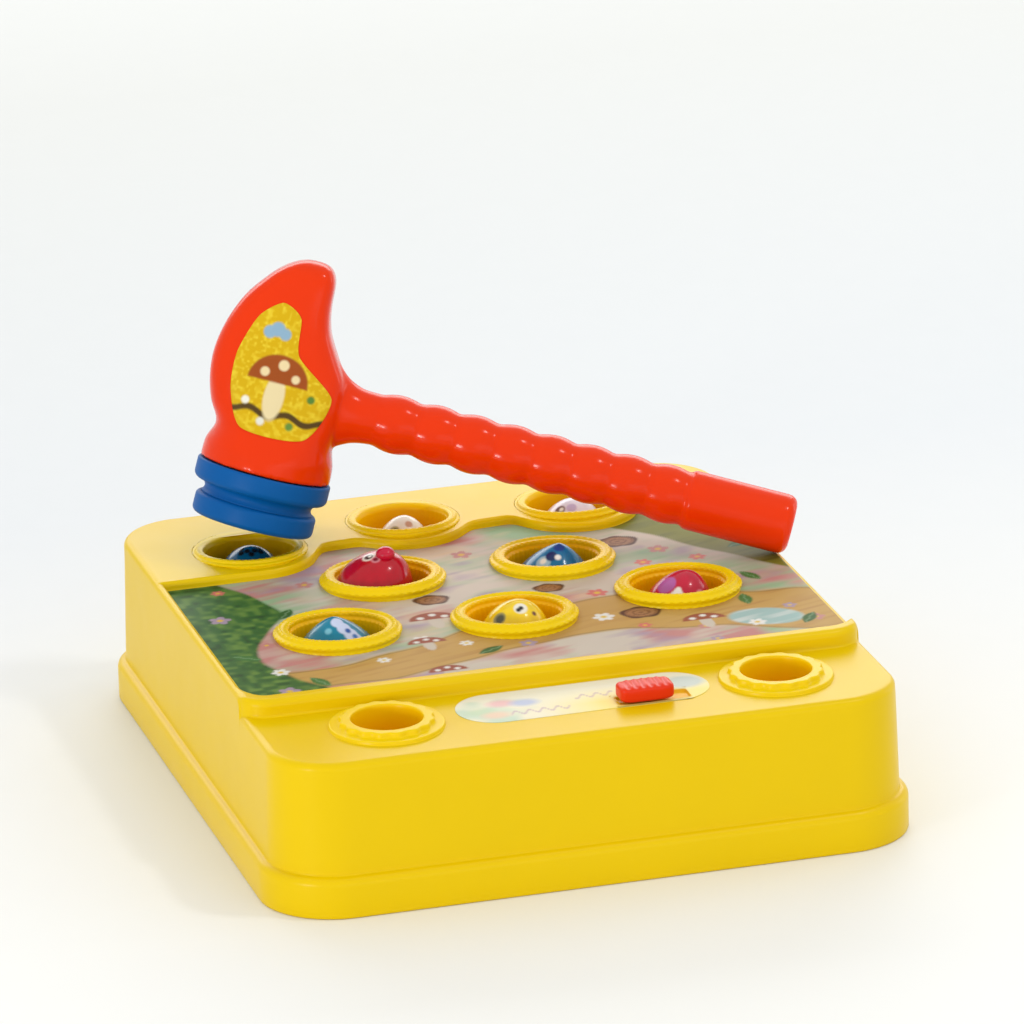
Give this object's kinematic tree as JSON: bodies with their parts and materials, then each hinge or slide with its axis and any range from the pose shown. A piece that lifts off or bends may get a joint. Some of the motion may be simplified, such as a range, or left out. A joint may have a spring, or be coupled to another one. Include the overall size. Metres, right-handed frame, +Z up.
{
  "type": "whack-a-mole toy",
  "caption": "Hollow moulded game case with pop-up moles on return springs, a motor-driven release disc inside, and a toy hammer with a squeaking bellows head.",
  "frame": {"origin": "middle of the case's underside, where it rests on a table", "axes": "+X to the player's right, +Y away from the player, +Z up"},
  "size_m": [0.267, 0.296, 0.1902],
  "materials": {
    "shell_yellow": "glossy moulded",
    "base_yellow": "matt moulded",
    "printed_sheet": "printed and varnished",
    "label": "printed and varnished",
    "hammer_orange": "glossy blow-moulded",
    "bellows_blue": "soft satin",
    "sticker": "printed sticker",
    "knob_red": "glossy moulded",
    "frame_grey": "plain moulded",
    "gear_plastic": "self-lubricating plastic",
    "disc_green": "plain moulded",
    "steel": "plain",
    "board": "lacquered",
    "black": "plain",
    "clamp_orange": "plain moulded",
    "cell": "printed sleeve",
    "mole_navy": "glossy moulded",
    "mole_white": "glossy moulded",
    "mole_lilac": "glossy moulded",
    "mole_red": "glossy moulded",
    "mole_blue": "glossy moulded",
    "mole_teal": "glossy moulded",
    "mole_yellow": "glossy moulded",
    "mole_pink": "glossy moulded"
  },
  "bodies": {
    "case": {"top_shell": "shell_yellow", "base_plate": "base_yellow", "game_sheet": "printed_sheet", "switch_label": "label", "chassis_plate": "frame_grey", "disc_axle": "steel", "drive_gear_axle": "steel", "motor_body": "steel", "motor_clamp": "clamp_orange", "circuit_board": "board", "board_chips": "black", "speaker": "black", "switch_body": "steel", "batteries": "cell", "battery_contacts": "steel", "case_screws": "steel", "chassis_screws": "steel", "spring_back_left": "steel", "spring_back_middle": "steel", "spring_back_right": "steel", "spring_mid_left": "steel", "spring_mid_right": "steel", "spring_front_left": "steel", "spring_front_middle": "steel", "spring_front_right": "steel", "catch_back_left": "gear_plastic", "catch_back_middle": "gear_plastic", "catch_back_right": "gear_plastic", "catch_mid_left": "gear_plastic", "catch_mid_right": "gear_plastic", "catch_front_left": "gear_plastic", "catch_front_middle": "gear_plastic", "catch_front_right": "gear_plastic"},
    "mole_back_left": {"mole_back_left": "mole_navy"},
    "mole_back_middle": {"mole_back_middle": "mole_white"},
    "mole_back_right": {"mole_back_right": "mole_lilac"},
    "mole_mid_left": {"mole_mid_left": "mole_red"},
    "mole_mid_right": {"mole_mid_right": "mole_blue"},
    "mole_front_left": {"mole_front_left": "mole_teal"},
    "mole_front_middle": {"mole_front_middle": "mole_yellow"},
    "mole_front_right": {"mole_front_right": "mole_pink"},
    "disc": {"release_disc": "disc_green"},
    "drive_gear": {"drive_gear": "gear_plastic"},
    "motor_rotor": {"motor_pinion": "gear_plastic"},
    "switch_knob": {"switch_knob": "knob_red"},
    "battery_door": {"battery_door": "base_yellow", "battery_door_screw": "steel"},
    "hammer": {"hammer_body": "hammer_orange", "bellows_collar": "bellows_blue", "bellows_fold": "bellows_blue", "squeaker": "gear_plastic", "hammer_sticker_near": "sticker", "hammer_sticker_far": "sticker"},
    "bellows_face": {"bellows_face": "bellows_blue"}
  },
  "joints": [
    {"name": "back_left_pop", "type": "slide", "parent": "case", "child": "mole_back_left", "axis": [0, 0, 1], "range_m": [-0.0015, 0.0065], "deforming": ["spring_back_left", "catch_back_left"]},
    {"name": "back_middle_pop", "type": "slide", "parent": "case", "child": "mole_back_middle", "axis": [0, 0, 1], "range_m": [-0.0015, 0.0065], "deforming": ["spring_back_middle", "catch_back_middle"]},
    {"name": "back_right_pop", "type": "slide", "parent": "case", "child": "mole_back_right", "axis": [0, 0, 1], "range_m": [-0.0015, 0.0065], "deforming": ["spring_back_right", "catch_back_right"]},
    {"name": "mid_left_pop", "type": "slide", "parent": "case", "child": "mole_mid_left", "axis": [0, 0, 1], "range_m": [-0.008, 0], "deforming": ["spring_mid_left", "catch_mid_left"]},
    {"name": "mid_right_pop", "type": "slide", "parent": "case", "child": "mole_mid_right", "axis": [0, 0, 1], "range_m": [-0.0015, 0.0065], "deforming": ["spring_mid_right", "catch_mid_right"]},
    {"name": "front_left_pop", "type": "slide", "parent": "case", "child": "mole_front_left", "axis": [0, 0, 1], "range_m": [-0.0015, 0.0065], "deforming": ["spring_front_left", "catch_front_left"]},
    {"name": "front_middle_pop", "type": "slide", "parent": "case", "child": "mole_front_middle", "axis": [0, 0, 1], "range_m": [-0.0015, 0.0065], "deforming": ["spring_front_middle", "catch_front_middle"]},
    {"name": "front_right_pop", "type": "slide", "parent": "case", "child": "mole_front_right", "axis": [0, 0, 1], "range_m": [-0.0015, 0.0065], "deforming": ["spring_front_right", "catch_front_right"]},
    {"name": "switch_slide", "type": "slide", "parent": "case", "child": "switch_knob", "axis": [1, 0, 0], "range_m": [0, 0.006]},
    {"name": "disc_spin", "type": "hinge", "parent": "case", "child": "disc", "pos_m": [-0.0045, 0.03848, 0.0096], "axis": [0, 0, 1], "continuous": true},
    {"name": "drive_gear_spin", "type": "hinge", "parent": "case", "child": "drive_gear", "pos_m": [0.031, -0.03765, 0.005], "axis": [0, 0, 1], "continuous": true},
    {"name": "motor_spin", "type": "hinge", "parent": "case", "child": "motor_rotor", "pos_m": [0.04283, -0.06303, 0.005], "axis": [0, 0, 1], "continuous": true},
    {"name": "battery_door_lift", "type": "slide", "parent": "case", "child": "battery_door", "axis": [0, 0, -1], "range_m": [0, 0.03]},
    {"name": "hammer_lift", "type": "slide", "parent": "case", "child": "hammer", "axis": [0, 0, 1], "range_m": [0, 0.15]},
    {"name": "bellows_press", "type": "slide", "parent": "hammer", "child": "bellows_face", "axis": [0.3161, 0.1196, 0.9412], "range_m": [0, 0.003], "stiffness_N_per_m": 1500, "deforming": ["bellows_fold"]}
  ],
  "couplings": [
    {"joint": "drive_gear_spin", "follows": "disc_spin", "ratio": -8.3333},
    {"joint": "motor_spin", "follows": "disc_spin", "ratio": 50}
  ]
}
